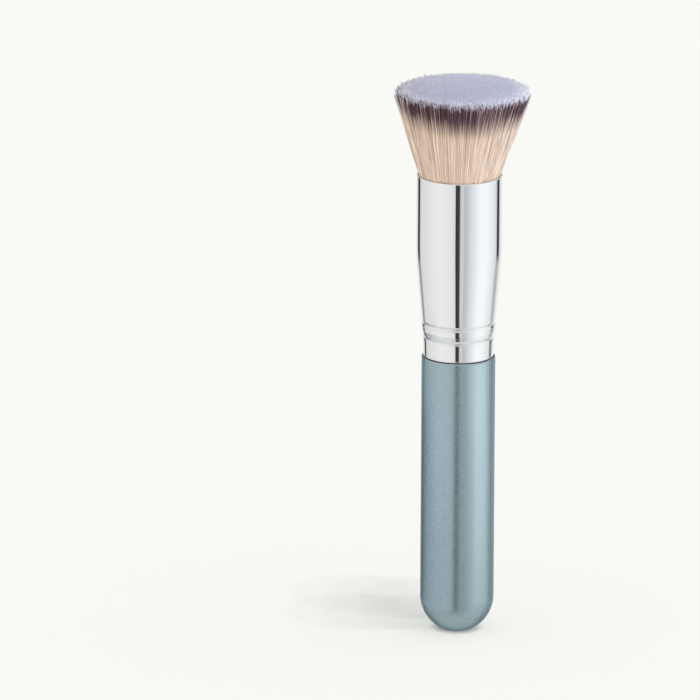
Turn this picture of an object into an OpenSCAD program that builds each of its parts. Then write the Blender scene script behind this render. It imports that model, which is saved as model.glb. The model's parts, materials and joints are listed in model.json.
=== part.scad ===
// Flat-top kabuki brush: a dense flared tuft in a tapered, crimped metal ferrule
// on a round-ended lacquered wooden handle. The brush stands on the handle's foot.

/* [Handle] */
// Length of the handle from its foot to the shoulder that carries the ferrule
handle_len = 78.5; // [60:0.5:110]
// Diameter of the handle
handle_d = 20.4; // [18:0.2:26]
// Diameter of the small flat that the round end stands on
foot_d = 8; // [4:0.5:12]
// Rounding of the handle's edge round the shoulder
shoulder_round = 0.5; // [0.2:0.1:0.6]
// Length of the tenon that goes up into the ferrule
tenon_len = 20; // [14:0.5:26]
// Chamfer on the tenon's end
tenon_chamfer = 0.8; // [0.2:0.1:2]

/* [Ferrule] */
// Wall of the ferrule's tube
wall = 0.35; // [0.3:0.05:0.6]
// How far the skirt's surface lies inside the handle's surface
skirt_inset = 0.35; // [0.3:0.05:1]
// Length of the plain skirt under the crimps
skirt_len = 4.7; // [2:0.1:8]
// How much narrower in radius the skirt is at the shoulder than at the crimps
skirt_draw = 0.12; // [0:0.02:0.2]
// Length of each rolled crimp along the tube
crimp_len = 1.8; // [1.2:0.1:2.6]
// Depth of each rolled crimp
crimp_depth = 0.22; // [0.1:0.02:0.5]
// Length of the bead between the two crimps
bead_len = 2.3; // [1.4:0.1:4]
// Height of the bead over the straight line between its ends
bead_rise = 0.06; // [0:0.02:0.3]
// How much wider in radius the neck over the crimps is than the skirt
neck_step = 0.45; // [0.2:0.05:1]
// Length of the straight taper from the neck to the barrel
taper_len = 21; // [14:0.5:30]
// Length over which the taper bends into the barrel
bend_len = 6; // [2:0.5:8]
// Outer diameter of the barrel at the mouth
mouth_d = 23.8; // [22:0.2:28]
// Length of the straight barrel
barrel_len = 20; // [19:0.5:30]
// Rounding of the tube's two outer edges
edge_round = 0.3; // [0.05:0.05:0.3]

/* [Tuft] */
// Diameter of the flat top's rim
rim_d = 37.4; // [30:0.2:46]
// Free length of the bristles from the mouth to the rim
hair_len = 23.8; // [18:0.2:34]
// How far the middle of the top stands over its rim
crown = 1.8; // [0:0.1:3]
// How strongly the flare bows outward, as a share of its own slope
bow = 0.12; // [0:0.02:0.3]
// How far under the rim the strands are at their fullest
belly_drop = 7; // [4:0.5:12]
// Rings of strands round the middle one
rings = 10; // [10:1:11]
// Share of the pitch that a strand fills up to its belly
strand_fill = 0.84; // [0.6:0.02:0.86]
// Share of the pitch that a strand fills at its tip
tip_fill = 0.76; // [0.3:0.02:0.8]
// Turn of each ring of strands against the one inside it, as a share of their spacing
ring_turn = 0.38; // [0:0.02:1]
// Length of the roots that the resin has bound into one block
root_len = 13; // [8:0.5:15]
// Depth of the root block's top below the mouth
root_drop = 3; // [1.5:0.5:4]

/* [Inner pieces] */
// Height of the resin plug that locks the roots in the ferrule
plug_len = 5; // [3:0.5:8]
// Height of the thread wound round the root block
binding_len = 4; // [2:0.5:6]
// Thickness of the wound thread
binding_t = 0.6; // [0.3:0.05:0.8]
// Height of the binding over the root block's lower end
binding_lift = 2; // [1:0.5:3]
// Thickness of the glue between the tenon and the skirt
glue_t = 0.2; // [0.12:0.02:0.3]
// Height of the glue's lower end over the shoulder
glue_lift = 0.6; // [0.3:0.1:2]
// Clearance between the root block or the resin and the tube round them
bore_clear = 0.15; // [0.05:0.05:0.3]
// Clearance on each side of a thin layer between two pieces
film_clear = 0.03; // [0.01:0.01:0.05]

/* [Hidden] */
$fn = 96;

// strands that each ring has more than the ring inside it, and how deep each starts in the root block
ring_step = 6;
root_overlap = 0.5;

// steps in a rounded edge, a rolled crimp or bead, the round end and the bend
edge_steps = 4;
roll_steps = 8;
ball_steps = 24;
bend_steps = 6;

handle_r = handle_d / 2;
foot_r = foot_d / 2;
ball_z = sqrt(handle_r * handle_r - foot_r * foot_r);
skirt_r = handle_r - skirt_inset;
neck_r = skirt_r + neck_step;
mouth_r = mouth_d / 2;

// heights over the shoulder, where the ferrule begins
low_crimp_h = skirt_len;
bead_h = low_crimp_h + crimp_len;
high_crimp_h = bead_h + bead_len;
neck_h = high_crimp_h + crimp_len;
barrel_h = neck_h + taper_len;
mouth_h = barrel_h + barrel_len;
mouth_z = handle_len + mouth_h;

root_top_h = mouth_h - root_drop;
root_base_h = root_top_h - root_len;
plug_base_h = root_base_h - plug_len;
tenon_r = skirt_r - skirt_draw - wall - glue_t - 2 * film_clear;
root_r = mouth_r - wall - bore_clear;

// smooth hump from 0 at either end of a stretch to 1 in its middle
function hump(h, from, len) = (h <= from || h >= from + len) ? 0 : (1 - cos(360 * (h - from) / len)) / 2;

// share of the way from one height to another, held between 0 and 1
function along(h, from, to) = max(0, min(1, (h - from) / (to - from)));

// the taper's own line, which bends into the barrel over bend_len as a parabola
taper_slope = (mouth_r - neck_r) / (taper_len - bend_len / 2);
function taper_rise(h) =
    let (t = h - neck_h, bend = max(0, t - (taper_len - bend_len)))
    t <= 0 ? 0 :
    t >= taper_len ? mouth_r - neck_r :
    taper_slope * (t - bend * bend / (2 * bend_len));

// outer radius of the ferrule at a height over the shoulder
function ferrule_r(h) =
    skirt_r - skirt_draw * (1 - along(h, 0, low_crimp_h))
    + neck_step * along(h, low_crimp_h, high_crimp_h) + taper_rise(h)
    - crimp_depth * (hump(h, low_crimp_h, crimp_len) + hump(h, high_crimp_h, crimp_len))
    + bead_rise * hump(h, bead_h, bead_len);

// radius of the ferrule's bore at that height
function bore_r(h) = ferrule_r(h) - wall;

// radius of the tenon, a straight round bar that the crimps press into
function tenon_at(h) = min(tenon_r, bore_r(h) - glue_t - 2 * film_clear);

// heights at which the ferrule's outline turns
stations = concat(
    [for (i = [0:roll_steps]) low_crimp_h + crimp_len * i / roll_steps],
    [for (i = [1:roll_steps]) bead_h + bead_len * i / roll_steps],
    [for (i = [1:roll_steps]) high_crimp_h + crimp_len * i / roll_steps],
    [for (i = [0:bend_steps]) barrel_h - bend_len * (1 - i / bend_steps)]
);
function stations_in(from, to) = concat([from], [for (h = stations) if (h > from && h < to) h], [to]);
function flipped(list) = [for (i = [len(list) - 1:-1:0]) list[i]];

// arc of a circle in the radius-height plane, from one angle to another
function arc(r, z, size, from, to, steps) =
    [for (i = [0:steps]) let (a = from + (to - from) * i / steps) [r + size * cos(a), z + size * sin(a)]];

// lowest angle of the round end, where it meets the flat foot
foot_angle = -acos(foot_r / handle_r);

module handle() {
    tenon_top = handle_len + tenon_len;
    chamfer_base = tenon_len - tenon_chamfer;
    color([0.52, 0.64, 0.67])
        rotate_extrude()
            polygon(concat(
                [[0, 0]],
                arc(0, ball_z, handle_r, foot_angle, 0, ball_steps),
                arc(handle_r - shoulder_round, handle_len - shoulder_round, shoulder_round, 0, 90, edge_steps),
                [for (h = stations_in(0, chamfer_base)) [tenon_at(h), handle_len + h]],
                [[tenon_at(tenon_len) - tenon_chamfer, tenon_top], [0, tenon_top]]
            ));
}

module ferrule() {
    size = min(edge_round, 0.85 * wall);
    color([0.86, 0.87, 0.88])
        translate([0, 0, handle_len])
            rotate_extrude()
                polygon(concat(
                    [[bore_r(0), 0]],
                    arc(ferrule_r(0) - size, size, size, -90, 0, edge_steps),
                    [for (h = stations) [ferrule_r(h), h]],
                    arc(mouth_r - size, mouth_h - size, size, 0, 90, edge_steps),
                    [[bore_r(mouth_h), mouth_h]],
                    [for (h = flipped(stations)) [bore_r(h), h]]
                ));
}

// outer radius of the tuft at a height over the mouth: a flare that bows outward a little
hair_mouth_r = root_r;
flare = (rim_d / 2 - hair_mouth_r) / hair_len;
function tuft_r(h) =
    h < 0 ? hair_mouth_r + flare * (1 + bow) * h :
    hair_mouth_r + flare * h * (1 + bow * (1 - h / hair_len));

// the levels of a strand over the mouth, and how much of the pitch it fills at each
levels = [-root_drop - root_overlap, hair_len - belly_drop, hair_len];
fills = [strand_fill, strand_fill, tip_fill];
top_level = len(levels) - 1;
sides = 4;

// distance between rings, and between the strands of a ring, at a level
function pitch(level) = tuft_r(levels[level]) / (rings + fills[level] / 2);

// rise of the crown at a radius
function crown_at(r) = crown * (1 - pow(r / (rim_d / 2), 2));

// corner of a strand's square section: its ring, turn and place in the square
function corner(ring, level, turn, i) =
    let (
        half = fills[level] * pitch(level) / 2,
        x = ring * pitch(level) + half * [1, 1, -1, -1][i],
        y = half * [-1, 1, 1, -1][i],
        lift = level == top_level ? crown_at(norm([x, y])) : 0
    )
    [x * cos(turn) - y * sin(turn), x * sin(turn) + y * cos(turn), mouth_z + levels[level] + lift];

// the walls between two levels, then the root's end and the tip
strand_faces = concat(
    [for (k = [0:top_level - 1], i = [0:sides - 1])
        let (a = k * sides + i, b = k * sides + (i + 1) % sides) [a, b + sides, b]],
    [for (k = [0:top_level - 1], i = [0:sides - 1])
        let (a = k * sides + i, b = k * sides + (i + 1) % sides) [a, a + sides, b + sides]],
    [for (i = [1:sides - 2]) [0, i, i + 1]],
    [for (i = [1:sides - 2]) let (t = top_level * sides) [t, t + i + 1, t + i]]
);

module strand(ring, turn) {
    polyhedron(
        points = [for (k = [0:top_level], i = [0:sides - 1]) corner(ring, k, turn, i)],
        faces = strand_faces
    );
}

module bristle_tuft() {
    groove_z = handle_len + root_base_h + binding_lift;
    color([0.87, 0.77, 0.7]) {
        difference() {
            translate([0, 0, handle_len + root_base_h]) cylinder(r = root_r, h = root_len);
            translate([0, 0, groove_z])
                rotate_extrude()
                    translate([root_r - binding_t, 0])
                        square([2 * binding_t, binding_len]);
        }
        strand(0, 0);
        for (ring = [1:rings], j = [0:ring_step * ring - 1])
            strand(ring, 360 * (j + ring * ring_turn) / (ring_step * ring));
    }
}

// thread wound tight in the groove of the root block
module root_binding() {
    inner_r = root_r - binding_t + film_clear;
    base_z = handle_len + root_base_h + binding_lift;
    color([0.9, 0.88, 0.82])
        translate([0, 0, base_z])
            rotate_extrude()
                translate([inner_r, 0])
                    square([root_r - inner_r, binding_len]);
}

// resin poured on the roots from below, set against the bore
module root_resin() {
    color([0.85, 0.72, 0.45])
        translate([0, 0, handle_len])
            rotate_extrude()
                polygon(concat(
                    [[0, plug_base_h]],
                    [for (h = stations_in(plug_base_h, root_base_h)) [bore_r(h) - bore_clear, h]],
                    [[0, root_base_h]]
                ));
}

// glue that fills the space between the tenon and the ferrule
module tenon_glue() {
    heights = stations_in(glue_lift, tenon_len - tenon_chamfer);
    color([0.8, 0.76, 0.62])
        translate([0, 0, handle_len])
            rotate_extrude()
                polygon(concat(
                    [for (h = heights) [bore_r(h) - film_clear, h]],
                    [for (h = flipped(heights)) [tenon_at(h) + film_clear, h]]
                ));
}

handle();
ferrule();
bristle_tuft();
root_binding();
root_resin();
tenon_glue();
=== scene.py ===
"""Looks of a flat-top kabuki brush: lacquered handle, chrome-plated ferrule and dyed tuft, and its studio."""

import json
import math

import bpy
import numpy as np
from mathutils import Matrix, Vector

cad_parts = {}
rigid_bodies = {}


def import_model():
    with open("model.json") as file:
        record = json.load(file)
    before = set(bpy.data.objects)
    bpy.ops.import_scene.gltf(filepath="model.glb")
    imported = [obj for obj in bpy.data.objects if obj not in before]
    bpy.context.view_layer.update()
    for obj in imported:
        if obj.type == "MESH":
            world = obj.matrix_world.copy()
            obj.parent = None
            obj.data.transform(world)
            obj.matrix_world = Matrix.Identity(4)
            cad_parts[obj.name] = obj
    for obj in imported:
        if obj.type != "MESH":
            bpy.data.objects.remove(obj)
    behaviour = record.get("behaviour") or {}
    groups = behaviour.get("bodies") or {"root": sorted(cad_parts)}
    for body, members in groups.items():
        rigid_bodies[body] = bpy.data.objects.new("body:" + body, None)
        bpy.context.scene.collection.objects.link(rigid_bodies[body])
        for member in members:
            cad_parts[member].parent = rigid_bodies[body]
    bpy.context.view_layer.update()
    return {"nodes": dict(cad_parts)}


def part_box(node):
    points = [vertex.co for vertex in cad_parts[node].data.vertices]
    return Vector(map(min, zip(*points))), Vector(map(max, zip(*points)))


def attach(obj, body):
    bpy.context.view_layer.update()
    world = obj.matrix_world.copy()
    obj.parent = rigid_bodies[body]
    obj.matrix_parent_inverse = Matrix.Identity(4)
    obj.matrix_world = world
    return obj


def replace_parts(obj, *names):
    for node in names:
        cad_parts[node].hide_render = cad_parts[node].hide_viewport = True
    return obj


bl_info = {
    "name": "Kabuki Brush Looks",
    "version": (1, 0, 0),
    "blender": (4, 5, 0),
    "location": "3D View > Sidebar > Kabuki",
    "description": "Finishes the handle, the ferrule and the tuft of a kabuki brush, and sets its studio",
    "category": "Object",
}

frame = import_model()

MM = 0.001

# sizes of the ferrule and the tuft, from the frame
ferrule_low, ferrule_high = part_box("ferrule")
_, tuft_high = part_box("bristle_tuft")
WALL = 0.35 * MM
CROWN = 1.8 * MM
MOUTH_Z = ferrule_high.z
MOUTH_R = ferrule_high.x - WALL
RIM_R = tuft_high.x
RIM_TOP = tuft_high.z - CROWN
# heights of the skirt's lower edge and of the two crimps, where the polish is duller
DULL_LEVELS = (ferrule_low.z, ferrule_low.z + 5.6 * MM, ferrule_low.z + 9.7 * MM)
# the dark bead in the seam under the skirt, painted shade of the gap: radius of its circle, radius of its
# section, and height
SEAM_R = 9.78 * MM
SEAM_SIZE = 0.18 * MM
SEAM_Z = ferrule_low.z - 0.02 * MM

# the filaments
SEED = 7
GOLDEN_ANGLE = math.pi * (3 - math.sqrt(5))
STRAND_SIDES = 3
# room that the outermost filaments need to sway in
SWAY_ROOM = 0.35 * MM
# name of the map that holds each filament's tone and its place along it; the export
# bakes a piece's colours through a map of this name
STRAND_MAP = "OFBake"
# how much of the map's width one filament takes
STRAND_WIDTH = 0.012
# places along that map of the mouth, the middle, the dark band's end and its top; the root is 0, the tip 1
MOUTH_AT, MID_AT, BAND_END_AT, BAND_TOP_AT = 0.1, 0.35, 0.66, 0.92
STRAND_AT = np.array([0, MOUTH_AT, MID_AT, BAND_END_AT, BAND_TOP_AT, 1])
# how much lower the dark band ends than usual, by direction round the tuft: right is 0, the front is -90
DYE_LINE_AT = np.radians([-180, -142, -119, -90, -70, -47, 0, 90])
DYE_LINE = np.array([-1.2, -1.0, 0.1, 0.85, 0.6, 0.05, -0.4, 0]) * MM

# the point that the camera looks at; the brush stands right of the picture's middle
VIEW_AIM = Vector((-29.95 * MM, 0, 79.7 * MM))
SENSOR_WIDTH = 36
# half the width of the paper floor
FLOOR_HALF = 4.0
# where the floor's glow starts and is full, by distance from the middle of the foot; the dim glow inside is a
# painted contact shadow
GLOW_FROM, GLOW_FULL = 4 * MM, 8 * MM
# where each lamp overhead throws the shadow of the tuft's top, across and back from the foot, in mm
THROWS = ((-10, 13), (-10, 30), (-20, 14), (-20, 32), (-30, 15), (-30, 33))
# the two lamps at the sides: degrees from the camera's direction, colours, and the angle that each covers
SIDE_RIGHT, SIDE_LEFT = 75, -80
RIGHT_COLOUR, LEFT_COLOUR = (0.7, 1.05, 1.4), (1, 1, 1)
SIDE_SPREAD = math.radians(50)

# The studio round the brush, as polished metal mirrors it. Angles are degrees from the camera's
# direction, to the right as the camera looks. The upper ring holds the stands between the panels.
RING_LOW = [
    (-180, "#F8F8F6"),
    (-150, "#E6E6E4"),
    (-143, "#9A9B9B"),
    (-134, "#9A9B9B"),
    (-128, "#D8D8D6"),
    (-120, "#DFDFDD"),
    (-90, "#E8E8E6"),
    (-55, "#F1F1F0"),
    (-22, "#EAEAE8"),
    (-11.6, "#DEDEDD"),
    (-9.8, "#2C2D30"),
    (0.6, "#4A4D4C"),
    (2.8, "#CFCFCE"),
    (10.8, "#D4D4D3"),
    (12.8, "#BCC0C2"),
    (20, "#C4C9CC"),
    (30, "#D8DDE0"),
    (42, "#E8EDF0"),
    (58, "#FFFFFF"),
    (78, "#FFFFFF"),
    (110, "#E6E9EC"),
    (118, "#D0D3D6"),
    (122, "#B4B6B8"),
    (131, "#B4B6B8"),
    (137, "#DADADA"),
    (148, "#EFEFEE"),
    (180, "#F8F8F6"),
]
GAPS = {-143: "#232424", -134: "#232424", 122: "#333537", 131: "#333537"}
RING_HIGH = [(azimuth, GAPS.get(azimuth, code)) for azimuth, code in RING_LOW]
ROOM = [
    (-180, "#DADCDC"),
    (-150, "#D0D2D2"),
    (-138, "#8C8E90"),
    (-126, "#D8DADA"),
    (-70, "#E8E9E9"),
    (-32, "#E0E2E2"),
    (-14, "#C4C6C7"),
    (8, "#C4C6C7"),
    (30, "#E2E5E7"),
    (70, "#FFFFFF"),
    (110, "#F0F2F3"),
    (128, "#A0A2A4"),
    (145, "#D0D2D2"),
    (180, "#DADCDC"),
]
CEILING, GROUND = "#F4F4F4", "#F0F0EE"
# heights, in degrees over the horizon, at which one of these gives way to the next
GROUND_TO_ROOM = (-56, -48)
ROOM_TO_RING = (-39, -34)
LOW_TO_HIGH = (-18.4, -15.7)
RING_TO_ROOM = (8, 14)
ROOM_TO_CEILING = (24, 34)

# Curved cards round the brush, so low that mostly the lacquer mirrors them: left and right end in degrees,
# foot and top in mm, colour, and glow. The last two values of a card that covers what is behind it are
# how much it does, and over how many degrees each of its ends fades.
CARD_REACH = 0.15
CARD_STEPS = 8
CARD_TOP_FADE = 16 * MM
CARDS = (
    ("dark_card_front", -11, 5, -60, 28, "#141619", 1, 0.5, (1, 1)),
    ("dark_card_left", -155, -68, -36, 34, "#303840", 1, 0.62, (8, 62)),
    ("cool_card_left", -128, -22, -36, 12, "#DADEE3", 1, 0.6, (10, 10)),
    ("blue_card_left", -115, -22, -60, 30, "#8CC4FF", 0.165),
    ("edge_card_left", -165, -120, -60, 40, "#D4E2EA", 0.36),
    ("edge_card_right", 116, 162, -60, 40, "#D4E2E6", 0.24),
    ("bright_card_right", 50, 100, -30, 36, "#FFFEFA", 0.3),
    ("high_card_right", 30, 90, 26, 46, "#FFFEFA", 0.4),
)
# how far from the foot the lacquer mirrors the paper as shaded
SHADED_REACH = 0.19


def linear(code):
    """Linear colour of an sRGB hex code."""
    parts = [int(code[i : i + 2], 16) / 255 for i in (1, 3, 5)]
    return tuple(p / 12.92 if p <= 0.04045 else ((p + 0.055) / 1.055) ** 2.4 for p in parts)


def new_mesh(name, points, faces):
    """A mesh from an (n, 3) array of points and a list of (m, k) arrays of corner numbers."""
    corners = np.concatenate([f.ravel() for f in faces]).astype(np.int32)
    sizes = np.concatenate([np.full(len(f), f.shape[1]) for f in faces])
    starts = np.concatenate([[0], np.cumsum(sizes)[:-1]]).astype(np.int32)
    mesh = bpy.data.meshes.new(name)
    mesh.vertices.add(len(points))
    mesh.vertices.foreach_set("co", points.astype(np.float32).ravel())
    mesh.loops.add(len(corners))
    mesh.loops.foreach_set("vertex_index", corners)
    mesh.polygons.add(len(starts))
    mesh.polygons.foreach_set("loop_start", starts)
    mesh.update(calc_edges=True)
    mesh.shade_smooth()
    if mesh.validate():
        raise RuntimeError(f"{name} has faces that aren't sound")
    return mesh


def new_object(name, data):
    """An object of a mesh, a lamp or a camera, in the scene."""
    made = bpy.data.objects.new(name, data)
    bpy.context.scene.collection.objects.link(made)
    return made


def new_piece(name, mesh, material):
    """An object of that mesh and material in the frame, riding on the brush."""
    piece = new_object(name, mesh)
    mesh.materials.append(material)
    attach(piece, "root")
    return piece


def flat_square(name, half, height):
    """A level square mesh about the axis, from half its width and its height."""
    corners = [(-half, -half), (half, -half), (half, half), (-half, half)]
    return new_mesh(name, np.array([(x, y, height) for x, y in corners]), [np.array([[0, 1, 2, 3]])])


def add_node(tree, kind, sockets=None, **settings):
    """Adds a node, gives it its settings, and fills its sockets with values or with other nodes' outputs."""
    node = tree.nodes.new(kind)
    for name, value in settings.items():
        setattr(node, name, value)
    for key, value in (sockets or {}).items():
        if isinstance(value, bpy.types.NodeSocket):
            tree.links.new(value, node.inputs[key])
        else:
            node.inputs[key].default_value = value
    return node


def set_stops(node, stops):
    """Fills a colour ramp with (place, linear colour) stops."""
    elements = node.color_ramp.elements
    while len(elements) > 1:
        elements.remove(elements[-1])
    for i, (place, colour) in enumerate(stops):
        element = elements[0] if i == 0 else elements.new(place)
        element.position = place
        element.color = (*colour, 1)
    return node


def new_material(name):
    """A node material with nothing but a Principled shader, as the material, its tree and the shader."""
    material = bpy.data.materials.new(name)
    material.use_nodes = True
    tree = material.node_tree
    tree.nodes.clear()
    shader = add_node(tree, "ShaderNodeBsdfPrincipled")
    add_node(tree, "ShaderNodeOutputMaterial", {"Surface": shader.outputs["BSDF"]})
    return material, tree, shader


def wear(node, material):
    """Gives a carried-over frame node that one material."""
    if node not in frame["nodes"]:
        raise RuntimeError(f"the frame has no {node}")
    mesh = frame["nodes"][node].data
    mesh.materials.clear()
    mesh.materials.append(material)


class HandleLook(bpy.types.PropertyGroup):
    base: bpy.props.FloatVectorProperty(
        name="Lacquer",
        description="Colour of the pearl lacquer",
        subtype="COLOR",
        size=3,
        default=linear("#8FA8AF"),
    )
    flake: bpy.props.FloatVectorProperty(
        name="Flake",
        description="Colour of its pale flakes",
        subtype="COLOR",
        size=3,
        default=linear("#B1C3C8"),
    )
    edge: bpy.props.FloatVectorProperty(
        name="Edge",
        description="Tint of what it mirrors along its edges",
        subtype="COLOR",
        size=3,
        default=linear("#8494A0"),
    )
    flake_size: bpy.props.FloatProperty(
        name="Flake size",
        description="Size of a pearl flake as it shows",
        default=0.55 * MM,
        unit="LENGTH",
    )
    roughness: bpy.props.FloatProperty(
        name="Roughness",
        description="Roughness of the satin lacquer",
        default=0.26,
        subtype="FACTOR",
    )


class FerruleLook(bpy.types.PropertyGroup):
    metal: bpy.props.FloatVectorProperty(
        name="Chrome",
        description="Colour of the plating",
        subtype="COLOR",
        size=3,
        default=linear("#F7F8F9"),
    )
    roughness: bpy.props.FloatProperty(
        name="Roughness",
        description="Roughness of the polished plating",
        default=0.035,
        subtype="FACTOR",
    )
    crimp_roughness: bpy.props.FloatProperty(
        name="Crimp roughness",
        description="Roughness at the bottoms of the crimps",
        default=0.3,
        subtype="FACTOR",
    )


class TuftLook(bpy.types.PropertyGroup):
    clumps: bpy.props.IntProperty(
        name="Clumps",
        description="Small clumps that the filaments gather in",
        default=6000,
        min=100,
    )
    strands: bpy.props.IntProperty(
        name="Filaments",
        description="Filaments in each clump",
        default=5,
        min=3,
    )
    pieces: bpy.props.IntProperty(
        name="Pieces",
        description="Pieces that the tuft is split into",
        default=6,
        min=1,
    )
    thickness: bpy.props.FloatProperty(
        name="Filament",
        description="Diameter of a filament",
        default=0.14 * MM,
        unit="LENGTH",
    )
    crown: bpy.props.FloatProperty(
        name="Crown",
        description="Rise of the top's middle over its rim",
        default=1.7 * MM,
        unit="LENGTH",
    )
    lean: bpy.props.FloatProperty(
        name="Lean",
        description="Lean of the tuft to the right",
        default=math.radians(2),
        subtype="ANGLE",
    )
    bow: bpy.props.FloatProperty(
        name="Bow",
        description="Outward bow of the flare, as a share of its slope",
        default=0.12,
        subtype="FACTOR",
    )
    root_depth: bpy.props.FloatProperty(
        name="Root depth",
        description="How far below the mouth the filaments start",
        default=3 * MM,
        unit="LENGTH",
    )
    band_top: bpy.props.FloatProperty(
        name="Band top",
        description="Length of the pale tips at the rim",
        default=0.4 * MM,
        unit="LENGTH",
    )
    band_top_inside: bpy.props.FloatProperty(
        name="Band top inside",
        description="Length of the pale tips inside",
        default=4.5 * MM,
        unit="LENGTH",
    )
    band_end: bpy.props.FloatProperty(
        name="Band end",
        description="Where the dark band ends below the tips",
        default=6.25 * MM,
        unit="LENGTH",
    )
    cream: bpy.props.FloatVectorProperty(
        name="Cream",
        description="Colour of the undyed filament",
        subtype="COLOR",
        size=3,
        default=linear("#F4D8C3"),
    )
    band: bpy.props.FloatVectorProperty(
        name="Band",
        description="Colour of the dark band",
        subtype="COLOR",
        size=3,
        default=linear("#543641"),
    )
    faded: bpy.props.FloatVectorProperty(
        name="Faded",
        description="Colour of the band on a filament that took little dye",
        subtype="COLOR",
        size=3,
        default=linear("#C9A8A6"),
    )
    tip: bpy.props.FloatVectorProperty(
        name="Tip",
        description="Colour of the pale tips",
        subtype="COLOR",
        size=3,
        default=linear("#C6C8DF"),
    )
    # this colour is also what the rim's tips are painted toward, as painted light on the rim
    bleached_and_rim_light: bpy.props.FloatVectorProperty(
        name="Bleached tip",
        description="Colour of the palest tips",
        subtype="COLOR",
        size=3,
        default=linear("#ECE9EE"),
    )
    bend: bpy.props.FloatProperty(
        name="Bend",
        description="Share of the tuft's own outward direction in a filament's normals",
        default=0.78,
        subtype="FACTOR",
    )


class StageLook(bpy.types.PropertyGroup):
    paper: bpy.props.FloatVectorProperty(
        name="Paper",
        description="Colour of the backdrop as it shows",
        subtype="COLOR",
        size=3,
        default=linear("#F9FAF5"),
    )
    fill: bpy.props.FloatProperty(
        name="Fill",
        description="Strength of the even light all round",
        default=0.69,
    )
    fill_lean: bpy.props.FloatVectorProperty(
        name="Fill lean",
        description="Which way the even light is stronger",
        size=3,
        default=(0.8, -0.2, 0.4),
    )
    fill_even: bpy.props.FloatProperty(
        name="Fill even",
        description="Even share of that light",
        default=1.85,
    )
    fill_sides: bpy.props.FloatProperty(
        name="Fill sides",
        description="Share of it from both sides",
        default=0.8,
    )
    key: bpy.props.FloatProperty(
        name="Key",
        description="Strength of the lamps overhead, together",
        default=2.7,
    )
    key_spread: bpy.props.FloatProperty(
        name="Key spread",
        description="Angle that each of those lamps covers",
        default=math.radians(1.0),
        subtype="ANGLE",
    )
    glow: bpy.props.FloatProperty(
        name="Glow",
        description="Share of the floor's white that comes from below",
        default=0.42,
        subtype="FACTOR",
    )
    side_right: bpy.props.FloatProperty(
        name="Right lamp",
        description="Strength of the lamp at the right",
        default=1.4,
    )
    side_left: bpy.props.FloatProperty(
        name="Left lamp",
        description="Strength of the lamp at the left",
        default=0.35,
    )
    view_up: bpy.props.FloatProperty(
        name="View height",
        description="Angle of the view above the horizon",
        default=math.radians(15.5),
        subtype="ANGLE",
    )
    view_roll: bpy.props.FloatProperty(
        name="View roll",
        description="Turn of the camera about its axis",
        default=math.radians(0.25),
        subtype="ANGLE",
    )
    view_width: bpy.props.FloatProperty(
        name="View width",
        description="Width of the view at the brush",
        default=193.3 * MM,
        unit="LENGTH",
    )
    lens: bpy.props.FloatProperty(
        name="Lens",
        description="Focal length of the camera",
        default=600,
        subtype="DISTANCE_CAMERA",
    )


def pearl_lacquer(look):
    """Pearl lacquer sprayed on sanded birch: mica flakes in a satin film, so the light spreads into broad
    soft streaks with a fine speckle. Real flakes are far finer, and are drawn as coarse as they need to
    show. The pigment takes up the light that comes in along the surface, so the edges don't turn white."""
    material, tree, shader = new_material("pearl_lacquer_on_birch")
    place = add_node(tree, "ShaderNodeTexCoord").outputs["Object"]
    drawn = add_node(tree, "ShaderNodeMapping", {"Vector": place, "Scale": (1, 1, 0.55)}).outputs["Vector"]
    flakes = add_node(
        tree,
        "ShaderNodeTexNoise",
        {"Vector": drawn, "Scale": 1 / look.flake_size, "Detail": 3.0, "Roughness": 0.6},
    ).outputs["Fac"]
    share = add_node(tree, "ShaderNodeMapRange", {"Value": flakes, "From Min": -0.25, "From Max": 1.27})
    colour = add_node(
        tree,
        "ShaderNodeMix",
        {0: share.outputs["Result"], 6: (*look.base, 1), 7: (*look.flake, 1)},
        data_type="RGBA",
    )
    rough = add_node(
        tree,
        "ShaderNodeMapRange",
        {
            "Value": flakes,
            "From Min": 0.3,
            "From Max": 0.7,
            "To Min": look.roughness - 0.03,
            "To Max": look.roughness + 0.03,
        },
    )
    bump = add_node(tree, "ShaderNodeBump", {"Height": flakes, "Strength": 0.1, "Distance": 0.02 * MM})
    tree.links.new(colour.outputs[2], shader.inputs["Base Color"])
    tree.links.new(rough.outputs["Result"], shader.inputs["Roughness"])
    tree.links.new(bump.outputs["Normal"], shader.inputs["Normal"])
    shader.inputs["Metallic"].default_value = 0.85
    shader.inputs["Specular Tint"].default_value = (*look.edge, 1)
    shader.inputs["Coat Weight"].default_value = 0.2
    shader.inputs["Coat Roughness"].default_value = 0.25
    shader.inputs["IOR"].default_value = 1.5
    return material


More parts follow.
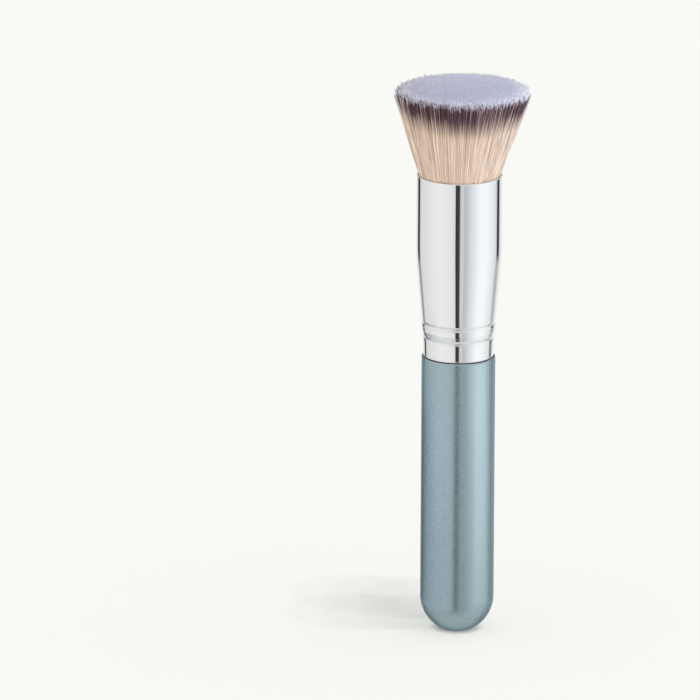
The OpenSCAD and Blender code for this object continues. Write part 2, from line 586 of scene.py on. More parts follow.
def polished_chrome(look):
    """Chrome plated on spun brass and polished: a mirror with a very faint waviness left by the wheel. The
    wheel doesn't reach the bottoms of the two rolled crimps or the lower edge, so these are duller and blur
    what they mirror."""
    material, tree, shader = new_material("polished_chrome_plate")
    place = add_node(tree, "ShaderNodeTexCoord").outputs["Object"]
    waves = add_node(tree, "ShaderNodeTexNoise", {"Vector": place, "Scale": 1 / (4 * MM), "Detail": 2.0})
    rough = add_node(
        tree,
        "ShaderNodeMapRange",
        {
            "Value": waves.outputs["Fac"],
            "From Min": 0.3,
            "From Max": 0.7,
            "To Min": look.roughness * 0.8,
            "To Max": look.roughness * 1.3,
        },
    ).outputs["Result"]
    height = add_node(tree, "ShaderNodeSeparateXYZ", {"Vector": place}).outputs["Z"]
    for level in DULL_LEVELS:
        off = add_node(tree, "ShaderNodeMath", {0: height, 1: level}, operation="SUBTRACT").outputs[0]
        away = add_node(tree, "ShaderNodeMath", {0: off}, operation="ABSOLUTE").outputs[0]
        dull = add_node(
            tree,
            "ShaderNodeMapRange",
            {
                "Value": away,
                "From Min": 0.35 * MM,
                "From Max": 0.8 * MM,
                "To Min": look.crimp_roughness,
                "To Max": 0,
            },
        ).outputs["Result"]
        rough = add_node(tree, "ShaderNodeMath", {0: rough, 1: dull}, operation="MAXIMUM").outputs[0]
    tree.links.new(rough, shader.inputs["Roughness"])
    shader.inputs["Base Color"].default_value = (*look.metal, 1)
    shader.inputs["Metallic"].default_value = 1
    return material


def dyed_nylon(look):
    """Crimped nylon filament, cream, dyed dark near the end and whitened by bleach at the very tip. The map's
    first axis is a filament's own tone, its second runs from the root to the tip. Filaments of a light
    tone took little of the dye, so they run through the dark band as pale streaks. The palest tips at
    the rim are painted light, and the cream is painted darker toward the root as painted shade."""
    material, tree, shader = new_material("dyed_nylon_filament")
    strand_map = add_node(tree, "ShaderNodeUVMap", uv_map=STRAND_MAP).outputs["UV"]
    along = add_node(tree, "ShaderNodeSeparateXYZ", {"Vector": strand_map})
    cream = tuple(look.cream)

    def dyed(band, tip):
        """Colour from root to tip of a filament whose band and tip have those colours."""
        near = tuple(0.6 * c + 0.4 * b for c, b in zip(cream, band))
        deep = tuple(0.2 * c + 0.8 * b for c, b in zip(cream, band))
        ramp = set_stops(
            add_node(tree, "ShaderNodeValToRGB", {"Fac": along.outputs["Y"]}),
            [
                # toward the root the cream is painted darker: painted shade in and near the ferrule's mouth
                (0.0, tuple(0.6 * c for c in cream)),
                (MOUTH_AT, tuple(0.9 * c for c in cream)),
                (MID_AT, cream),
                (BAND_END_AT - 0.14, cream),
                (BAND_END_AT - 0.04, near),
                (BAND_END_AT + 0.04, deep),
                (BAND_END_AT + 0.09, band),
                (BAND_TOP_AT - 0.02, band),
                (BAND_TOP_AT + 0.03, tip),
                (1.0, tip),
            ],
        )
        return ramp.outputs["Color"]

    undyed = add_node(
        tree,
        "ShaderNodeMapRange",
        {"Value": along.outputs["X"], "From Min": 0.6, "From Max": 0.93},
    )
    dye = add_node(
        tree,
        "ShaderNodeMix",
        {
            0: undyed.outputs["Result"],
            6: dyed(tuple(look.band), tuple(look.tip)),
            7: dyed(tuple(look.faded), tuple(look.bleached_and_rim_light)),
        },
        data_type="RGBA",
    )
    tone = add_node(tree, "ShaderNodeMapRange", {"Value": along.outputs["X"], "To Min": 0.82, "To Max": 1.06})
    colour = add_node(
        tree,
        "ShaderNodeVectorMath",
        {0: dye.outputs[2], "Scale": tone.outputs["Result"]},
        operation="SCALE",
    )
    tree.links.new(colour.outputs["Vector"], shader.inputs["Base Color"])
    shader.inputs["Roughness"].default_value = 0.5
    shader.inputs["IOR"].default_value = 1.53
    shader.inputs["Specular IOR Level"].default_value = 0.3
    shader.inputs["Sheen Weight"].default_value = 0.3
    shader.inputs["Sheen Roughness"].default_value = 0.4
    return material


def wound_thread():
    """Waxed polyester thread wound tight: a fine rope of turns, 0.3 mm apart."""
    material, tree, shader = new_material("wound_polyester_thread")
    place = add_node(tree, "ShaderNodeTexCoord").outputs["Object"]
    # a wave texture of scale 1 has 20 bands in 2 pi units
    turns = add_node(
        tree,
        "ShaderNodeTexWave",
        {"Vector": place, "Scale": 2 * math.pi / (20 * 0.3 * MM), "Distortion": 0.5},
        bands_direction="Z",
    ).outputs["Fac"]
    # the thread is painted darker where the turns dip, between them: painted shade in the grooves
    colour = set_stops(
        add_node(tree, "ShaderNodeValToRGB", {"Fac": turns}),
        [(0, linear("#B9AE98")), (1, linear("#EFE8D8"))],
    )
    bump = add_node(tree, "ShaderNodeBump", {"Height": turns, "Strength": 0.8, "Distance": 0.1 * MM})
    tree.links.new(colour.outputs["Color"], shader.inputs["Base Color"])
    tree.links.new(bump.outputs["Normal"], shader.inputs["Normal"])
    shader.inputs["Roughness"].default_value = 0.7
    return material


def cured_resin(name, clear, cloudy, cloud_size):
    """Resin or glue poured and left to cure: glossy, with cloudy patches of trapped air."""
    material, tree, shader = new_material(name)
    place = add_node(tree, "ShaderNodeTexCoord").outputs["Object"]
    clouds = add_node(tree, "ShaderNodeTexNoise", {"Vector": place, "Scale": 1 / cloud_size, "Detail": 3.0})
    colour = set_stops(
        add_node(tree, "ShaderNodeValToRGB", {"Fac": clouds.outputs["Fac"]}),
        [(0.35, linear(clear)), (0.7, linear(cloudy))],
    )
    tree.links.new(colour.outputs["Color"], shader.inputs["Base Color"])
    shader.inputs["Roughness"].default_value = 0.25
    shader.inputs["IOR"].default_value = 1.55
    return material


def seam_shade_paint():
    """A dark bead in the seam, as painted shade of the gap between the skirt and the shoulder: dull, with
    faint spots 1 mm across.
    """
    material, tree, shader = new_material("seam_bead_painted_shade")
    place = add_node(tree, "ShaderNodeTexCoord").outputs["Object"]
    spots = add_node(tree, "ShaderNodeTexNoise", {"Vector": place, "Scale": 1 / (1 * MM)})
    colour = set_stops(
        add_node(tree, "ShaderNodeValToRGB", {"Fac": spots.outputs["Fac"]}),
        [(0.3, linear("#2A2D30")), (0.7, linear("#3C4043"))],
    )
    tree.links.new(colour.outputs["Color"], shader.inputs["Base Color"])
    shader.inputs["Roughness"].default_value = 0.6
    return material


def sunflower(count):
    """Points spread evenly over a unit disc: point k is at radius sqrt((k + 1/2) / count), turned by the
    golden angle from the one before it."""
    k = np.arange(count)
    radius = np.sqrt((k + 0.5) / count)
    return np.stack([radius * np.cos(k * GOLDEN_ANGLE), radius * np.sin(k * GOLDEN_ANGLE)], -1)


def tuft_radius(look, height):
    """Radius of the tuft at a height over the mouth: 0.2 mm under the bore's radius, plus a slope times the
    height, with an outward bow that is nothing at the mouth and at the rim."""
    low, free = MOUTH_R - 0.2 * MM, RIM_TOP - MOUTH_Z
    slope = (RIM_R - SWAY_ROOM - low) / free
    return low + slope * height * (1 + look.bow * (1 - height / free) * (height > 0))


def strand_places(look, rng):
    """Places of all filaments on a unit disc, as two (n, 2) arrays: the centre of each one's clump, and the
    way from there to the filament. The clumps are a sunflower, and the filaments of each are a small
    sunflower, turned at random."""
    clump_r = 1 / math.sqrt(look.clumps)
    centre = sunflower(look.clumps) * (1 - clump_r)
    turn = rng.uniform(0, 2 * math.pi, look.clumps)
    local = sunflower(look.strands) * clump_r
    c, s = np.cos(turn)[:, None], np.sin(turn)[:, None]
    local = np.stack([local[:, 0] * c - local[:, 1] * s, local[:, 0] * s + local[:, 1] * c], -1)
    centre = np.repeat(centre[:, None], look.strands, 1)
    return centre.reshape(-1, 2), local.reshape(-1, 2)


def strand_paths(look):
    """Axis points of all filaments at six levels, as an (n, 6, 3) array, each one's tone, its tip's tone,
    and its place from the middle, 0, to the outside, 1.

    A filament keeps its place in the disc of the tuft's section as the section grows with the height. The
    levels are its root, the mouth, the middle, the dark band's end and top, and its tip. The tips lie on a
    paraboloid, a little uneven, and lower at the very rim."""
    rng = np.random.default_rng(SEED)
    centre, local = strand_places(look, rng)
    n = len(local)

    def each(by_clump, by_strand, *shape):
        """Random numbers that a clump's filaments share in part."""
        shared = np.repeat(rng.normal(0, 1, (look.clumps, *shape)), look.strands, 0)
        return by_clump * shared + by_strand * rng.normal(0, 1, (n, *shape))

    out = np.linalg.norm(centre + local, axis=1)
    toward = np.arctan2(centre[:, 1], centre[:, 0])
    # shares from 0 to 1: of the very rim, of the outer quarter, and of the front
    rim = np.clip((out - 0.9) / 0.1, 0, 1)
    edge = np.clip((out - 0.75) / 0.25, 0, 1)
    front = np.clip(-np.sin(toward), 0, 1) ** 2
    # locks of hair, as a sum of waves round the tuft
    waves = np.arange(5, 40, 2)
    locks = np.sin(toward[:, None] * waves + rng.uniform(0, 2 * math.pi, len(waves))).sum(1) / 3

    free = RIM_TOP - MOUTH_Z
    length = free + look.crown * (1 - out**2) + each(0.10 * MM, 0.16 * MM)
    length += MM * (0.5 * rim * rng.normal(0, 1, n) - 0.8 * rim**2)

    # the pale tips grow longer over 4.5 mm inward from the rim, or from up to 1.6 mm inside it at the left
    delay = 0.8 * MM * (1 - np.cos(toward))
    inside = np.clip(((1 - out) * RIM_R - delay) / (4.5 * MM), 0, 1)
    top = look.band_top + (look.band_top_inside - look.band_top) * inside
    top += (0.5 + 0.5 * inside) * each(0.2 * MM, 0.5 * MM)
    top += MM * (0.15 * np.cos(toward) - 0.15 * front + 0.15 * locks)
    top = np.clip(top, 0.2 * MM, None)

    wander = np.interp(toward, DYE_LINE_AT, DYE_LINE, period=2 * math.pi)
    end = look.band_end + each(0.2 * MM, 0.8 * MM) + 0.3 * MM * locks + wander
    end = np.clip(end, top + 1.5 * MM, None)

    zero = np.zeros(n)
    heights = [zero - look.root_depth, zero, zero + 0.42 * free, length - end, length - top, length]
    heights = np.stack(heights, 1)
    gather = np.array([1, 1, 1, 0.95, 0.9, 0.9])
    places = centre[:, None] + local[:, None] * gather[:, None]
    # filaments sway more toward the tip, and most at the rim
    loose = 1 + 1.3 * rim**2
    sway = (each(0.14 * MM, 0.16 * MM, 2) * loose[:, None])[:, None]
    sway = sway * np.clip(heights / free, 0, 1)[..., None] ** 1.5
    sway[:, 2] += each(0.05 * MM, 0.05 * MM, 2)
    flat = places * tuft_radius(look, heights)[..., None] + sway
    flat[..., 0] += math.tan(look.lean) * np.clip(heights, 0, None)
    paths = np.concatenate([flat, MOUTH_Z + heights[..., None]], -1)

    # tips vary less inside, and near the rim, except in front, they are painted paler, as painted light on
    # the rim
    tone = np.clip(0.5 + each(0.12, 0.24) + 0.03 * locks, 0.01, 0.97)
    tip_tone = 0.52 + (0.55 + 0.45 * edge) * (tone - 0.5) + 0.5 * (1 - 0.8 * front) * edge
    return paths, tone, np.clip(tip_tone, 0.01, 0.97), out


def strand_faces(levels):
    """Faces of one prism, as its walls and its two ends. For each: corner numbers, the level of each
    corner, and how far round the prism it is, from 0 to 1."""
    k, j = np.meshgrid(np.arange(levels - 1), np.arange(STRAND_SIDES), indexing="ij")
    after = (j + 1) % STRAND_SIDES
    low, high = k * STRAND_SIDES, (k + 1) * STRAND_SIDES
    walls = (
        np.stack([low + j, low + after, high + after, high + j], -1).reshape(-1, 4),
        np.stack([k, k, k + 1, k + 1], -1).reshape(-1, 4),
        np.stack([j, j + 1, j + 1, j], -1).reshape(-1, 4) / STRAND_SIDES,
    )
    ends = (
        np.array([[2, 1, 0], np.arange(3) + (levels - 1) * STRAND_SIDES]),
        np.array([[0] * 3, [levels - 1] * 3]),
        np.array([[1, 0.5, 0], [0, 0.5, 1]]),
    )
    return walls, ends


def make_strands(look, material):
    """Filaments as three-sided prisms: at each level, corner j stands off the axis by the filament's
    radius at angle (turn + j 120 degrees), and the ends are closed. The normals lean toward the way out
    of the tuft, sideways along its outside and upward over its top, because light passes through nylon
    filaments and a bundle of them is shaded as one soft body. Filaments are thicker here than real ones,
    so that as many as can be drawn fill the tuft."""
    paths, tone, tip_tone, out = strand_paths(look)
    n, levels = paths.shape[:2]
    turn = np.random.default_rng(SEED + 1).uniform(0, 2 * math.pi, n)
    angle = turn[:, None] + np.arange(STRAND_SIDES) * 2 * math.pi / STRAND_SIDES
    ring = np.stack([np.cos(angle), np.sin(angle), 0 * angle], -1)
    radius = look.thickness / 2 * np.array([1, 1, 1, 1, 1, 0.8])
    points = paths[:, :, None] + ring[:, None] * radius[:, None, None]

    sideways = np.concatenate([paths[..., :2] / RIM_R * out[:, None, None] ** 2, 0 * paths[..., 2:]], -1)
    upward = np.array([0, 0, 0, 0, 0.3, 1])[:, None] * np.array([0, 0, 1])
    way_out = sideways + upward + 1e-6
    way_out /= np.linalg.norm(way_out, axis=-1, keepdims=True)
    normals = (1 - look.bend) * ring[:, None] + look.bend * way_out[:, :, None]
    normals /= np.linalg.norm(normals, axis=-1, keepdims=True)

    faces = strand_faces(levels)
    sector = np.arctan2(paths[:, -1, 1], paths[:, -1, 0]) / (2 * math.pi) + 0.5
    sector = np.minimum((sector * look.pieces).astype(int), look.pieces - 1)
    for i in range(look.pieces):
        name = f"tuft_part_{i + 1}"
        chosen = np.flatnonzero(sector == i)
        first = (np.arange(len(chosen)) * levels * STRAND_SIDES)[:, None, None]
        corners = [(first + numbers).reshape(-1, numbers.shape[1]) for numbers, _, _ in faces]
        mesh = new_mesh(name, points[chosen].reshape(-1, 3), corners)
        # the map's first axis is the tone, the tip's own one at the tip, and its second the place along
        tones = np.stack([tone[chosen], tip_tone[chosen]], -1)
        at_tip = [(level == levels - 1).astype(int) for _, level, _ in faces]
        u = [(tones[:, tip] + STRAND_WIDTH * f[2]).ravel() for tip, f in zip(at_tip, faces)]
        v = [np.tile(STRAND_AT[level].ravel(), len(chosen)) for _, level, _ in faces]
        layer = mesh.uv_layers.new(name=STRAND_MAP)
        both = np.stack([np.concatenate(u), np.concatenate(v)], -1)
        layer.uv.foreach_set("vector", both.astype(np.float32).ravel())
        mesh.normals_split_custom_set_from_vertices(normals[chosen].reshape(-1, 3))
        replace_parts(new_piece(name, mesh, material), "bristle_tuft")


def lay_seam_shade(material):
    """A thin dark bead in the seam between the skirt and the shoulder, as painted shade of the gap: a small
    circle swept round the axis."""
    turns, steps = 192, 8
    a = np.linspace(0, 2 * math.pi, turns, endpoint=False)[:, None]
    b = np.linspace(0, 2 * math.pi, steps, endpoint=False)[None, :]
    r = SEAM_R + SEAM_SIZE * np.cos(b)
    z = SEAM_Z + SEAM_SIZE * np.sin(b)
    points = np.stack([r * np.cos(a), r * np.sin(a), z + 0 * a], -1).reshape(-1, 3)
    i, j = np.meshgrid(np.arange(turns), np.arange(steps), indexing="ij")
    i2, j2 = (i + 1) % turns, (j + 1) % steps
    faces = np.stack([i * steps + j, i2 * steps + j, i2 * steps + j2, i * steps + j2], -1).reshape(-1, 4)
    new_piece("seam_shade_bead", new_mesh("seam_shade_bead", points, [faces]), material)


def ring_of(tree, azimuth, stops):
    """Colour of the studio by azimuth, from stops in degrees."""
    ramp = add_node(tree, "ShaderNodeValToRGB", {"Fac": azimuth})
    return set_stops(ramp, [((a + 180) / 360, linear(code)) for a, code in stops]).outputs["Color"]


def mirrored_studio(tree, way):
    """Colour that polished metal mirrors from the direction whose three parts way holds."""
    front = add_node(tree, "ShaderNodeMath", {0: way["Y"], 1: -1.0}, operation="MULTIPLY").outputs[0]
    turned = add_node(tree, "ShaderNodeMath", {0: way["X"], 1: front}, operation="ARCTAN2").outputs[0]
    azimuth = add_node(
        tree,
        "ShaderNodeMapRange",
        {"Value": turned, "From Min": -math.pi, "From Max": math.pi},
    ).outputs["Result"]
    rise = add_node(tree, "ShaderNodeMath", {0: way["Z"]}, operation="ARCSINE").outputs[0]

    def change(heights, below, above):
        """One colour under the first height, the other over the second, and a smooth change between."""
        low, high = (math.radians(height) for height in heights)
        share = add_node(
            tree,
            "ShaderNodeMapRange",
            {"Value": rise, "From Min": low, "From Max": high},
            interpolation_type="SMOOTHSTEP",
        ).outputs["Result"]
        return add_node(tree, "ShaderNodeMix", {0: share, 6: below, 7: above}, data_type="RGBA").outputs[2]

    ring = change(LOW_TO_HIGH, ring_of(tree, azimuth, RING_LOW), ring_of(tree, azimuth, RING_HIGH))
    room = ring_of(tree, azimuth, ROOM)
    upper = change(RING_TO_ROOM, ring, room)
    upper = change(ROOM_TO_CEILING, upper, (*linear(CEILING), 1))
    tent = change(ROOM_TO_RING, room, upper)
    return change(GROUND_TO_ROOM, (*linear(GROUND), 1), tent)


def even_light(tree, look, direction, way):
    """Light on rough surfaces: even, plus a lean toward one side, plus a share from both sides."""
    lean = add_node(
        tree,
        "ShaderNodeVectorMath",
        {0: direction, 1: tuple(look.fill_lean)},
        operation="DOT_PRODUCT",
    ).outputs["Value"]
    across = add_node(tree, "ShaderNodeMath", {0: way["X"], 1: way["X"]}, operation="MULTIPLY").outputs[0]
    sides = add_node(
        tree,
        "ShaderNodeMath",
        {0: across, 1: look.fill_sides, 2: look.fill_even},
        operation="MULTIPLY_ADD",
    ).outputs[0]
    total = add_node(tree, "ShaderNodeMath", {0: lean, 1: sides}, operation="ADD").outputs[0]
    light = add_node(tree, "ShaderNodeMath", {0: total, 1: look.fill}, operation="MULTIPLY").outputs[0]
    grey = add_node(tree, "ShaderNodeCombineColor", {"Red": light, "Green": light, "Blue": light})
    return grey.outputs["Color"]


def studio_world(look):
    """The paper's white for the camera, the studio for mirror-like surfaces, and even light for the rest."""
    world = bpy.data.worlds.new("studio")
    bpy.context.scene.world = world
    world.use_nodes = True
    world.cycles.sampling_method = "NONE"
    tree = world.node_tree
    tree.nodes.clear()
    direction = add_node(tree, "ShaderNodeTexCoord").outputs["Generated"]
    way = add_node(tree, "ShaderNodeSeparateXYZ", {"Vector": direction}).outputs
    path = add_node(tree, "ShaderNodeLightPath").outputs
    light = add_node(
        tree,
        "ShaderNodeMix",
        {0: path["Is Glossy Ray"], 6: even_light(tree, look, direction, way), 7: mirrored_studio(tree, way)},
        data_type="RGBA",
    ).outputs[2]
    light = add_node(
        tree,
        "ShaderNodeMix",
        {0: path["Is Camera Ray"], 6: light, 7: (*look.paper, 1)},
        data_type="RGBA",
    ).outputs[2]
    shown = add_node(tree, "ShaderNodeBackground", {"Color": light, "Strength": 1.0})
    add_node(tree, "ShaderNodeOutputWorld", {"Surface": shown.outputs["Background"]})


def paper_floor(look):
    """Seamless white translucent sheet on a light table: part of its white comes through from below, and the
    rest from the lamps, whose shadow of the brush it takes. The glow is turned down under the foot and close
    round it, as a painted contact shadow."""
    mesh = flat_square("paper_floor", FLOOR_HALF, 0)
    material, tree, shader = new_material("seamless_paper")
    # what level paper gets from that light: the mean of each of its three terms over the sky
    lit = look.fill * (look.fill_even + look.fill_sides / 4 + look.fill_lean[2] * 2 / 3) + look.key / math.pi
    # 1.012 makes up for what the brush keeps off the paper round it
    shader.inputs["Base Color"].default_value = (*(1.012 * (1 - look.glow) * c / lit for c in look.paper), 1)
    shader.inputs["Emission Color"].default_value = (*look.paper, 1)
    place = add_node(tree, "ShaderNodeTexCoord").outputs["Object"]
    away = add_node(tree, "ShaderNodeVectorMath", {0: place}, operation="LENGTH").outputs["Value"]
    # the glow drops to a tenth near the foot: a painted contact shadow
    glow = add_node(
        tree,
        "ShaderNodeMapRange",
        {
            "Value": away,
            "From Min": GLOW_FROM,
            "From Max": GLOW_FULL,
            "To Min": 0.1 * look.glow,
            "To Max": look.glow,
        },
        interpolation_type="SMOOTHSTEP",
    ).outputs["Result"]
    tree.links.new(glow, shader.inputs["Emission Strength"])
    shader.inputs["Roughness"].default_value = 1
    shader.inputs["Specular IOR Level"].default_value = 0
    mesh.materials.append(material)
    floor = new_object("paper_floor", mesh)
    floor.visible_glossy = False
    return floor


def gathered(name, pieces):
    """A collection of those objects, for a lamp to light or to be blocked by."""
    group = bpy.data.collections.new(name)
    for piece in pieces:
        group.objects.link(piece)
    return group


def tuft_pieces():
    """The pieces of the tuft that the scene has by now."""
    return [piece for piece in bpy.context.scene.collection.objects if piece.name.startswith("tuft_part")]


def far_lamp(name, energy, spread, way):
    """A lamp so far off that its light comes from one direction, with the angle that it covers."""
    lamp = bpy.data.lights.new(name, "SUN")
    lamp.energy = energy
    lamp.angle = spread
    holder = new_object(name, lamp)
    holder.rotation_euler = Vector(way).to_track_quat("-Z", "Y").to_euler()
    return holder


def key_lamps(look, floor):
    """Small lamps overhead, a little to the right of the brush and in front of it. They light the floor
    alone, where the head of the brush leaves its shadow."""
    lit = gathered("floor_alone", [floor])
    head = gathered("head_of_the_brush", [frame["nodes"]["ferrule"], *tuft_pieces()])
    for across, back in THROWS:
        way = (across * MM, back * MM, -RIM_TOP)
        holder = far_lamp("key_lamp", look.key / len(THROWS), look.key_spread, way)
        holder.light_linking.receiver_collection = lit
        holder.light_linking.blocker_collection = head


def side_lamps(look):
    """Two wide soft lamps level with the tuft, the stronger one at the right, that light its filaments
    alone."""
    tuft = gathered("tuft_alone", tuft_pieces())
    sides = ((SIDE_RIGHT, look.side_right, RIGHT_COLOUR), (SIDE_LEFT, look.side_left, LEFT_COLOUR))
    for azimuth, energy, colour in sides:
        angle = math.radians(azimuth)
        holder = far_lamp("side_lamp", energy, SIDE_SPREAD, (-math.sin(angle), math.cos(angle), 0))
        holder.data.color = colour
        holder.visible_glossy = False
        holder.light_linking.receiver_collection = tuft


def mirrored_card(name, mesh, shade, strength, cover=None):
    """A card that only mirror-like surfaces see: neither the camera nor the light meets it. It glows
    evenly, and is as solid as the function cover says for its node tree. Without a cover it is clear, adds
    its glow to what stands behind it, and shines on the handle alone."""
    material = bpy.data.materials.new(name)
    material.use_nodes = True
    tree = material.node_tree
    tree.nodes.clear()
    glow = add_node(tree, "ShaderNodeEmission", {"Color": (*linear(shade), 1), "Strength": strength})
    clear = add_node(tree, "ShaderNodeBsdfTransparent")
    card = new_object(name, mesh)
    if cover:
        sockets = {0: cover(tree), 1: clear.outputs["BSDF"], 2: glow.outputs["Emission"]}
        both = add_node(tree, "ShaderNodeMixShader", sockets)
    else:
        both = add_node(tree, "ShaderNodeAddShader", {0: clear.outputs["BSDF"], 1: glow.outputs["Emission"]})
        card.light_linking.receiver_collection = gathered(name, [frame["nodes"]["handle"]])
    add_node(tree, "ShaderNodeOutputMaterial", {"Surface": both.outputs["Shader"]})
    mesh.materials.append(material)
    card.visible_camera = False
    card.visible_diffuse = False
    card.visible_transmission = False
    card.visible_shadow = False


def shaded_paper():
    """The paper round the foot as the lacquer mirrors it: darkest where the brush stands on it."""

    def cover(tree):
        """Solid in a disc under and behind the foot, thin round it, and nothing at the card's edge."""
        place = add_node(tree, "ShaderNodeTexCoord").outputs["Object"]

        def disc(back, reach, stops):
            """How solid it is by the distance from a point behind the foot, as a share of the reach."""
            moved = add_node(
                tree,
                "ShaderNodeMapping",
                {"Vector": place, "Location": (0, -back / reach, 0), "Scale": (1 / reach, 1 / reach, 1)},
            ).outputs["Vector"]
            away = add_node(tree, "ShaderNodeVectorMath", {0: moved}, operation="LENGTH").outputs["Value"]
            ramp = add_node(tree, "ShaderNodeValToRGB", {"Fac": away})
            return set_stops(ramp, [(at, (solid, solid, solid)) for at, solid in stops]).outputs["Color"]

        under = disc(5 * MM, 12 * MM, [(0.5, 1), (0.9, 0)])
        wide = disc(0, SHADED_REACH, [(0, 0.2), (0.4, 0.16), (1, 0)])
        return add_node(tree, "ShaderNodeMath", {0: under, 1: wide}, operation="MAXIMUM").outputs[0]

    mesh = flat_square("shaded_paper_card", SHADED_REACH, 0.05 * MM)
    mirrored_card("shaded_paper_card", mesh, "#343E46", 1, cover)


def standing_card(name, left, right, foot, top, shade, strength, solid=0, soft=(1, 1)):
    """A card on part of a cylinder round the brush, from its row of CARDS. A solid one covers what stands
    behind it, less toward its top and, over the soft angles, toward its two ends. One that isn't only adds
    its glow, on the handle."""
    azimuth = np.radians(np.linspace(left, right, CARD_STEPS + 1))
    x, y = CARD_REACH * np.sin(azimuth), -CARD_REACH * np.cos(azimuth)
    rows = [np.stack([x, y, np.full(len(azimuth), height * MM)], -1) for height in (foot, top)]
    k = np.arange(CARD_STEPS)
    faces = np.stack([k, k + 1, k + CARD_STEPS + 2, k + CARD_STEPS + 1], -1)

    def cover(tree):
        """The solid share times three fades."""
        place = add_node(tree, "ShaderNodeTexCoord").outputs["Object"]
        at = add_node(tree, "ShaderNodeSeparateXYZ", {"Vector": place}).outputs
        front = add_node(tree, "ShaderNodeMath", {0: at["Y"], 1: -1.0}, operation="MULTIPLY").outputs[0]
        turned = add_node(tree, "ShaderNodeMath", {0: at["X"], 1: front}, operation="ARCTAN2").outputs[0]
        fades = (
            (turned, math.radians(left), math.radians(left + soft[0])),
            (turned, math.radians(right), math.radians(right - soft[1])),
            (at["Z"], top * MM, top * MM - CARD_TOP_FADE),
        )
        share = solid
        for value, none, full in fades:
            share = add_node(
                tree,
                "ShaderNodeMapRange",
                {"Value": value, "From Min": none, "From Max": full, "To Min": 0, "To Max": share},
            ).outputs["Result"]
        return share

    mesh = new_mesh(name, np.concatenate(rows), [faces])
    mirrored_card(name, mesh, shade, strength, cover if solid else None)


def view_camera(look):
    """A long lens at the photograph's height, with the brush right of the middle."""
    camera = bpy.data.cameras.new("camera")
    camera.lens = look.lens
    camera.sensor_width = SENSOR_WIDTH
    camera.clip_end = 50
    distance = look.view_width * look.lens / SENSOR_WIDTH
    holder = new_object("camera", camera)
    holder.location = VIEW_AIM + distance * Vector((0, -math.cos(look.view_up), math.sin(look.view_up)))
    tilt = Matrix.Rotation(math.pi / 2 - look.view_up, 3, "X")
    holder.rotation_euler = (tilt @ Matrix.Rotation(look.view_roll, 3, "Z")).to_euler()
    bpy.context.scene.camera = holder


class KABUKI_OT_lacquer_handle(bpy.types.Operator):
    """Sprays the wooden handle with pearl lacquer"""

    bl_idname = "kabuki.lacquer_handle"
    bl_label = "Lacquer the Handle"

    def execute(self, context):
        wear("handle", pearl_lacquer(context.scene.handle_look))
        return {"FINISHED"}


class KABUKI_OT_plate_ferrule(bpy.types.Operator):
    """Plates the ferrule with polished chrome"""

    bl_idname = "kabuki.plate_ferrule"
    bl_label = "Plate the Ferrule"

    def execute(self, context):
        wear("ferrule", polished_chrome(context.scene.ferrule_look))
        return {"FINISHED"}


class KABUKI_OT_fill_tuft(bpy.types.Operator):
    """Fills the ferrule with the tuft's dyed filaments"""

    bl_idname = "kabuki.fill_tuft"
    bl_label = "Fill the Tuft"

    def execute(self, context):
        look = context.scene.tuft_look
        make_strands(look, dyed_nylon(look))
        return {"FINISHED"}


class KABUKI_OT_wind_thread(bpy.types.Operator):
    """Winds the thread round the roots of the tuft"""

    bl_idname = "kabuki.wind_thread"
    bl_label = "Wind the Thread"

    def execute(self, context):
        wear("root_binding", wound_thread())
        return {"FINISHED"}


class KABUKI_OT_pour_resin(bpy.types.Operator):
    """Pours the resin on the roots of the tuft"""

    bl_idname = "kabuki.pour_resin"
    bl_label = "Pour the Resin"

    def execute(self, context):
        wear("root_resin", cured_resin("cured_epoxy_resin", "#B58A3E", "#D9BC7E", 2 * MM))
        return {"FINISHED"}


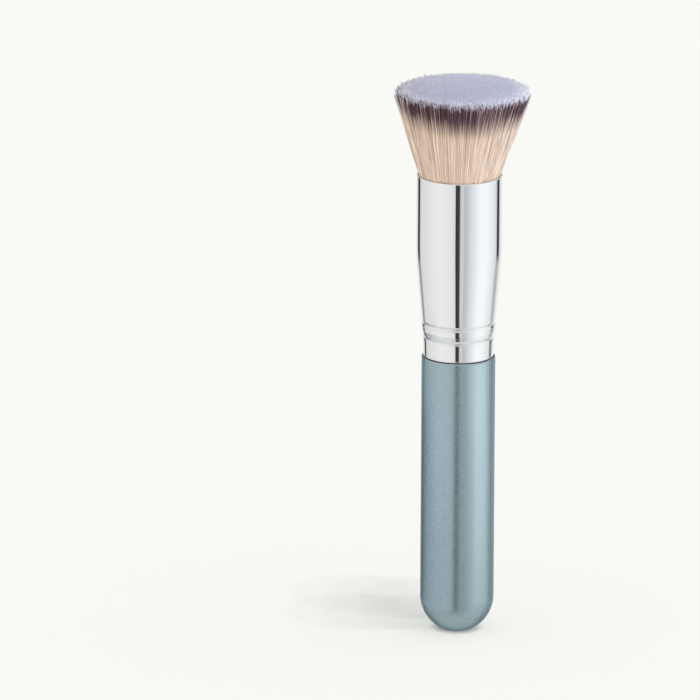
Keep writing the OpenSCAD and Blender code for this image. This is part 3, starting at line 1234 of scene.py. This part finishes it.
class KABUKI_OT_spread_glue(bpy.types.Operator):
    """Spreads the glue on the tenon, and lays a dark bead in the seam as painted shade of the gap"""

    bl_idname = "kabuki.spread_glue"
    bl_label = "Spread the Glue"

    def execute(self, context):
        wear("tenon_glue", cured_resin("cured_wood_glue", "#BFAF82", "#E0D7BD", 1 * MM))
        lay_seam_shade(seam_shade_paint())
        return {"FINISHED"}


class KABUKI_OT_set_stage(bpy.types.Operator):
    """Sets the paper floor, the lamps, the studio and its cards round the brush, and the camera"""

    bl_idname = "kabuki.set_stage"
    bl_label = "Set the Stage"

    def execute(self, context):
        look = context.scene.stage_look
        context.scene.view_settings.view_transform = "Standard"
        studio_world(look)
        key_lamps(look, paper_floor(look))
        side_lamps(look)
        shaded_paper()
        for card in CARDS:
            standing_card(*card)
        view_camera(look)
        return {"FINISHED"}


STEPS = (
    KABUKI_OT_lacquer_handle,
    KABUKI_OT_plate_ferrule,
    KABUKI_OT_fill_tuft,
    KABUKI_OT_wind_thread,
    KABUKI_OT_pour_resin,
    KABUKI_OT_spread_glue,
    KABUKI_OT_set_stage,
)
LOOKS = {
    "handle_look": HandleLook,
    "ferrule_look": FerruleLook,
    "tuft_look": TuftLook,
    "stage_look": StageLook,
}


class KABUKI_PT_looks(bpy.types.Panel):
    """Lists the steps that dress the brush"""

    bl_idname = "KABUKI_PT_looks"
    bl_label = "Kabuki Brush"
    bl_space_type = "VIEW_3D"
    bl_region_type = "UI"
    bl_category = "Kabuki"

    def draw(self, context):
        for step in STEPS:
            self.layout.operator(step.bl_idname)


def register():
    for kind in (*LOOKS.values(), *STEPS, KABUKI_PT_looks):
        bpy.utils.register_class(kind)
    for name, kind in LOOKS.items():
        setattr(bpy.types.Scene, name, bpy.props.PointerProperty(type=kind))


def unregister():
    for name in LOOKS:
        delattr(bpy.types.Scene, name)
    for kind in (KABUKI_PT_looks, *reversed(STEPS), *reversed(LOOKS.values())):
        bpy.utils.unregister_class(kind)


def main():
    """Dresses the brush step by step."""
    register()
    bpy.ops.kabuki.lacquer_handle()
    bpy.ops.kabuki.plate_ferrule()
    bpy.ops.kabuki.fill_tuft()
    bpy.ops.kabuki.wind_thread()
    bpy.ops.kabuki.pour_resin()
    bpy.ops.kabuki.spread_glue()
    bpy.ops.kabuki.set_stage()


if __name__ == "__main__":
    main()
